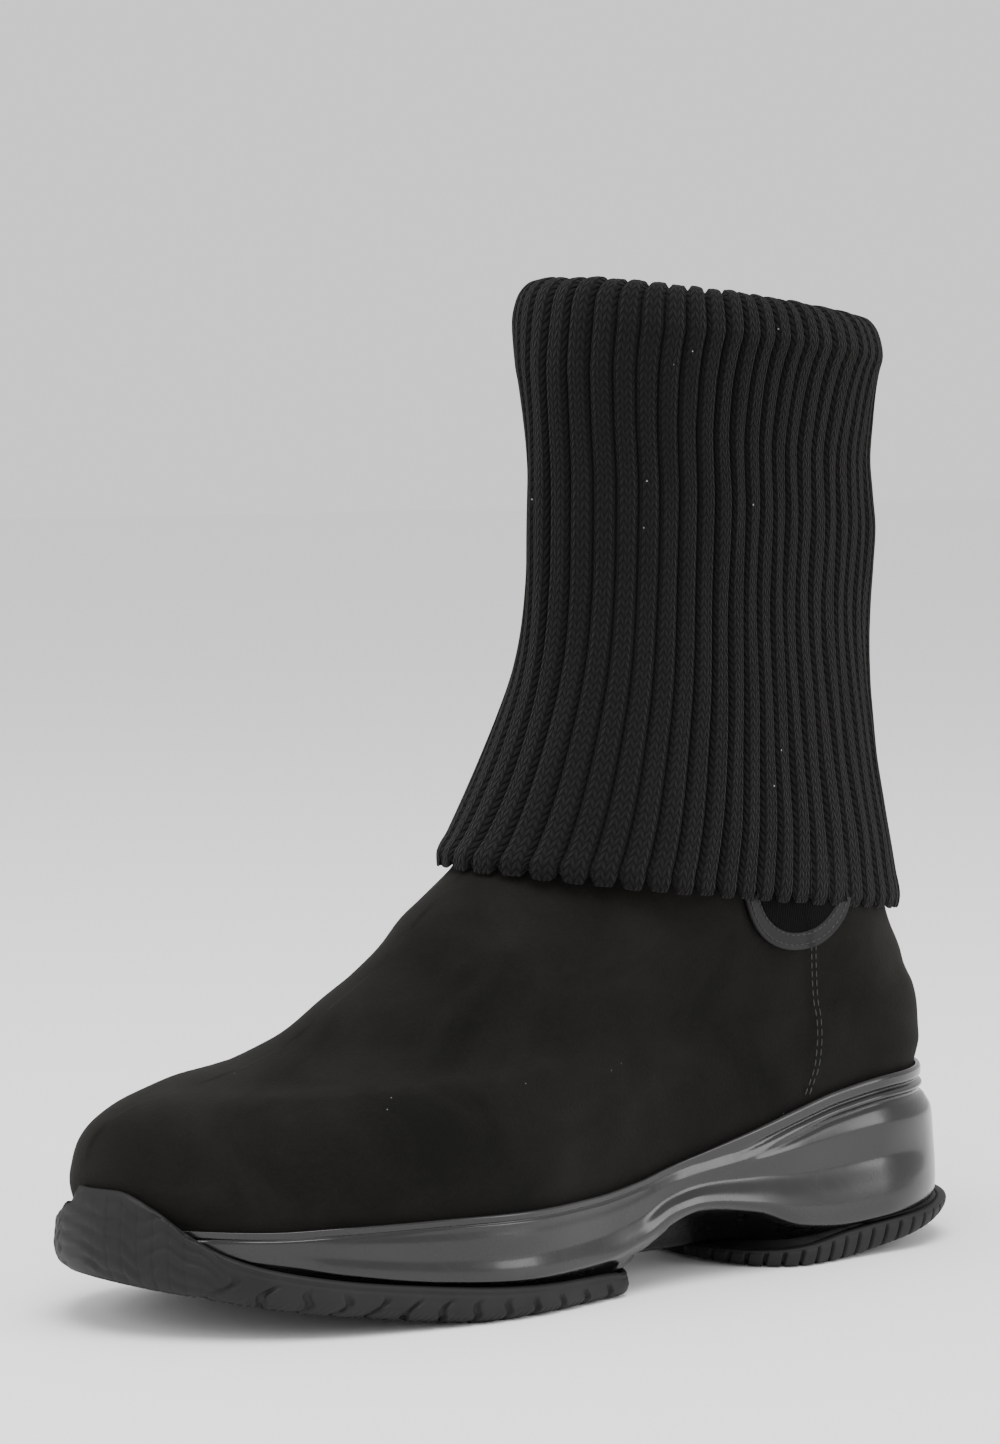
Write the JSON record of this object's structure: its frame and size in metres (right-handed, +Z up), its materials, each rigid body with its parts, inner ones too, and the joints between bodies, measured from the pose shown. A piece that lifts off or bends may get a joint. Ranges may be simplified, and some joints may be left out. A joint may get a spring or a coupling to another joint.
{
  "type": "ankle boot",
  "caption": "Left mid-calf boot: suede upper with a side gore, folded ribbed knit cuff, moulded wedge midsole, rubber forefoot and heel treads.",
  "frame": {"origin": "centre of the bounding box in plan, at the floor that the boot stands on", "axes": "+X to the toe, +Y to the wearer's left, which is the outer side of this left boot, +Z up"},
  "size_m": [0.2758, 0.0994, 0.2682],
  "materials": {
    "suede": "matt black suede with a short nap",
    "knit": "matt black chunky rib knit",
    "smooth_leather": "smooth black leather, satin",
    "elastic": "black woven elastic",
    "footbed": "black lining leather",
    "moulded_sole": "glossy charcoal moulded polyurethane",
    "tread_rubber": "matt black moulded rubber"
  },
  "bodies": {
    "root": {"upper": "suede", "cuff": "knit", "gore_trim_outer": "smooth_leather", "gore_trim_inner": "smooth_leather", "gore_outer": "elastic", "gore_inner": "elastic", "insole": "footbed", "midsole": "moulded_sole", "outsole_forefoot": "tread_rubber", "outsole_heel": "tread_rubber"}
  },
  "joints": []
}
